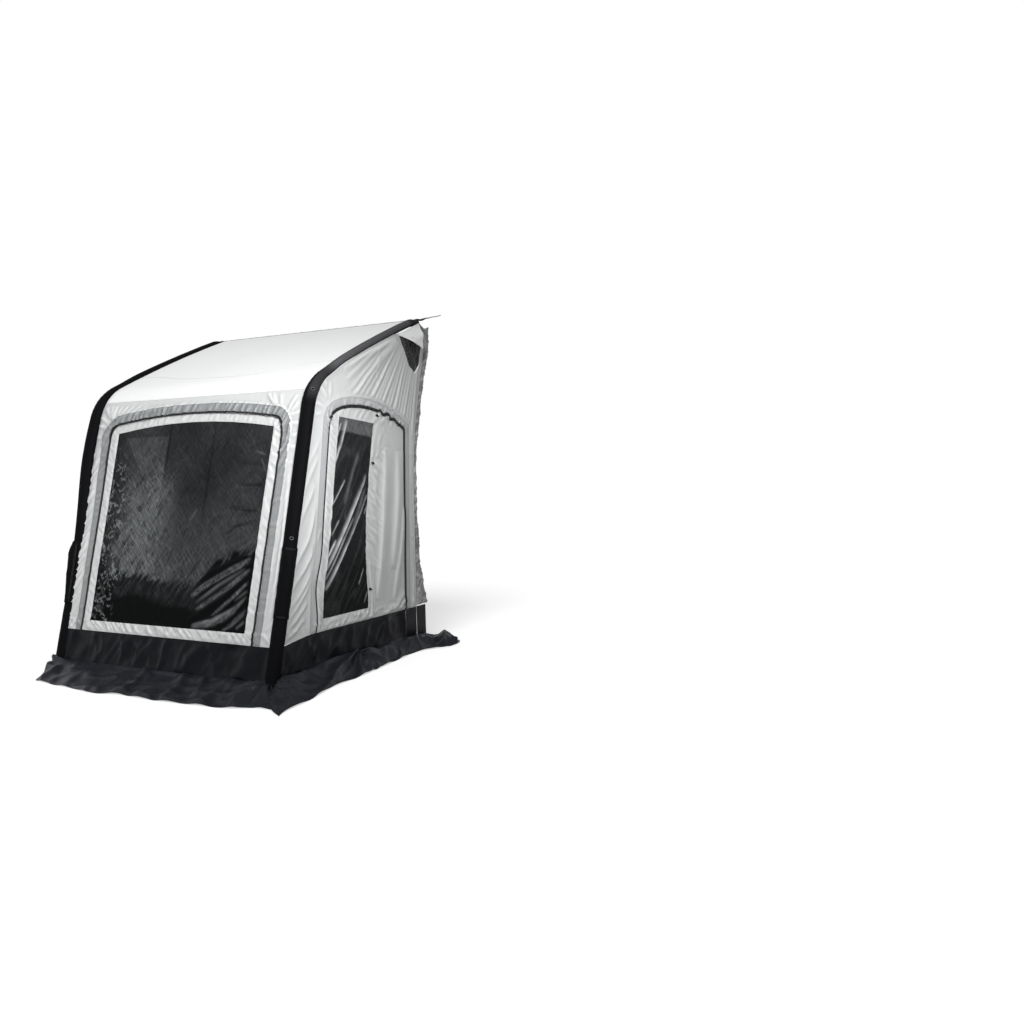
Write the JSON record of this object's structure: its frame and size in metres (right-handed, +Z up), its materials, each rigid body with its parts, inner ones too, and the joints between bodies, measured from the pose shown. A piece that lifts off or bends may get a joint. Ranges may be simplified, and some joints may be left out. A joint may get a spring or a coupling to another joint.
{
  "type": "caravan awning",
  "caption": "Inflatable porch awning for a caravan: air beams in black sleeves, curved roof, zipped front panel and side doors with clear windows, hooded vents and a ground skirt.",
  "frame": {"origin": "on the ground, in the middle of the awning's bounding box", "axes": "+X along the caravan, to the right of someone who looks at the awning's front; +Y towards the caravan; +Z up"},
  "size_m": [2.7606, 2.2675, 2.4282],
  "materials": {
    "roof_cloth": "near-white coated woven polyester, matt",
    "wall_cloth": "light grey coated woven polyester, matt",
    "trim_cloth": "mid-grey coated woven polyester, matt",
    "pad_cloth": "mid-grey padded cloth, matt",
    "sleeve_cloth": "black woven polyester, matt",
    "skirt_cloth": "black coated cloth, slight sheen",
    "clear_film": "clear film that looks dark, glossy",
    "bladder_film": "milky inner tube film, satin",
    "black_plastic": "moulded, satin",
    "zip_tape": "black zip coil and tape",
    "dark_metal": "dark plated, satin",
    "vent_net": "black insect net"
  },
  "bodies": {
    "awning": {"roof_panel": "roof_cloth", "keder_bead": "trim_cloth", "front_wall": "wall_cloth", "front_surround": "trim_cloth", "front_zip": "zip_tape", "front_skirt": "skirt_cloth", "front_flap": "skirt_cloth", "air_bladder_left": "bladder_film", "air_bladder_right": "bladder_film", "beam_sleeve_left": "sleeve_cloth", "beam_sleeve_right": "sleeve_cloth", "beam_end_left": "sleeve_cloth", "beam_end_right": "sleeve_cloth", "beam_foot_left": "black_plastic", "beam_foot_right": "black_plastic", "valve_body_left": "black_plastic", "valve_body_right": "black_plastic", "sleeve_eyelet_lower_left": "dark_metal", "sleeve_eyelet_lower_right": "dark_metal", "sleeve_eyelet_upper_left": "dark_metal", "sleeve_eyelet_upper_right": "dark_metal", "side_wall_left": "wall_cloth", "side_wall_right": "wall_cloth", "door_surround_left": "trim_cloth", "door_surround_right": "trim_cloth", "door_zip_left": "zip_tape", "door_zip_right": "zip_tape", "rear_pad_left": "pad_cloth", "rear_pad_right": "pad_cloth", "rear_skirt_left": "skirt_cloth", "rear_skirt_right": "skirt_cloth", "vent_net_left": "vent_net", "vent_net_right": "vent_net", "side_skirt_left": "skirt_cloth", "side_skirt_right": "skirt_cloth", "side_flap_left": "skirt_cloth", "side_flap_right": "skirt_cloth", "peg_loop_left": "sleeve_cloth", "peg_loop_right": "sleeve_cloth"},
    "front_panel": {"front_panel": "wall_cloth", "front_window": "clear_film"},
    "door_left": {"door_panel_left": "wall_cloth", "door_window_left": "clear_film"},
    "door_right": {"door_panel_right": "wall_cloth", "door_window_right": "clear_film"},
    "front_slider_left": {"front_slider_left": "dark_metal"},
    "front_slider_right": {"front_slider_right": "dark_metal"},
    "door_slider_left": {"door_slider_left": "dark_metal"},
    "door_slider_right": {"door_slider_right": "dark_metal"},
    "valve_cover_left": {"valve_cover_left": "sleeve_cloth"},
    "valve_cover_right": {"valve_cover_right": "sleeve_cloth"},
    "valve_cap_left": {"valve_cap_left": "black_plastic"},
    "valve_cap_right": {"valve_cap_right": "black_plastic"},
    "vent_hood_left": {"vent_hood_left": "roof_cloth", "vent_tie_left": "sleeve_cloth"},
    "vent_hood_right": {"vent_hood_right": "roof_cloth", "vent_tie_right": "sleeve_cloth"}
  },
  "joints": [
    {"name": "front_panel_fold", "type": "hinge", "parent": "awning", "child": "front_panel", "pos_m": [0, -0.66694, 0.27229], "axis": [1, 0, 0], "range_deg": [0, 105]},
    {"name": "door_left_swing", "type": "hinge", "parent": "awning", "child": "door_left", "pos_m": [-1, -0.29957, 0.3023], "axis": [0, 0.1599, 0.9871], "range_deg": [0, 110]},
    {"name": "door_right_swing", "type": "hinge", "parent": "awning", "child": "door_right", "pos_m": [1, -0.29957, 0.3023], "axis": [0, -0.1599, -0.9871], "range_deg": [0, 110]},
    {"name": "front_slider_left_slide", "type": "slide", "parent": "awning", "child": "front_slider_left", "axis": [0.0109, -0.248, -0.9687], "range_m": [0, 1.32]},
    {"name": "front_slider_right_slide", "type": "slide", "parent": "awning", "child": "front_slider_right", "axis": [-0.0109, -0.248, -0.9687], "range_m": [0, 1.32]},
    {"name": "door_slider_left_slide", "type": "slide", "parent": "awning", "child": "door_slider_left", "axis": [0, -0.0423, -0.9991], "range_m": [0, 1.38]},
    {"name": "door_slider_right_slide", "type": "slide", "parent": "awning", "child": "door_slider_right", "axis": [0, -0.0423, -0.9991], "range_m": [0, 1.38]},
    {"name": "valve_cover_left_flap", "type": "hinge", "parent": "awning", "child": "valve_cover_left", "pos_m": [-1.00871, -0.52313, 0.86912], "axis": [-0.7071, 0.685, -0.1754], "range_deg": [0, 110]},
    {"name": "valve_cover_right_flap", "type": "hinge", "parent": "awning", "child": "valve_cover_right", "pos_m": [1.00871, -0.52313, 0.86912], "axis": [-0.7071, -0.685, 0.1754], "range_deg": [0, 110]},
    {"name": "valve_cap_left_turn", "type": "hinge", "parent": "awning", "child": "valve_cap_left", "pos_m": [-1.00732, -0.54534, 0.77678], "axis": [-0.7071, -0.685, 0.1754], "range_deg": [0, 270]},
    {"name": "valve_cap_right_turn", "type": "hinge", "parent": "awning", "child": "valve_cap_right", "pos_m": [1.00732, -0.54534, 0.77678], "axis": [0.7071, -0.685, 0.1754], "range_deg": [0, 270]},
    {"name": "vent_hood_left_lift", "type": "hinge", "parent": "awning", "child": "vent_hood_left", "pos_m": [-1.00152, 0.6909, 2.27431], "axis": [0, 0.9235, 0.3836], "range_deg": [-8, 35]},
    {"name": "vent_hood_right_lift", "type": "hinge", "parent": "awning", "child": "vent_hood_right", "pos_m": [1.00152, 0.6909, 2.27431], "axis": [0, -0.9235, -0.3836], "range_deg": [-8, 35]}
  ]
}
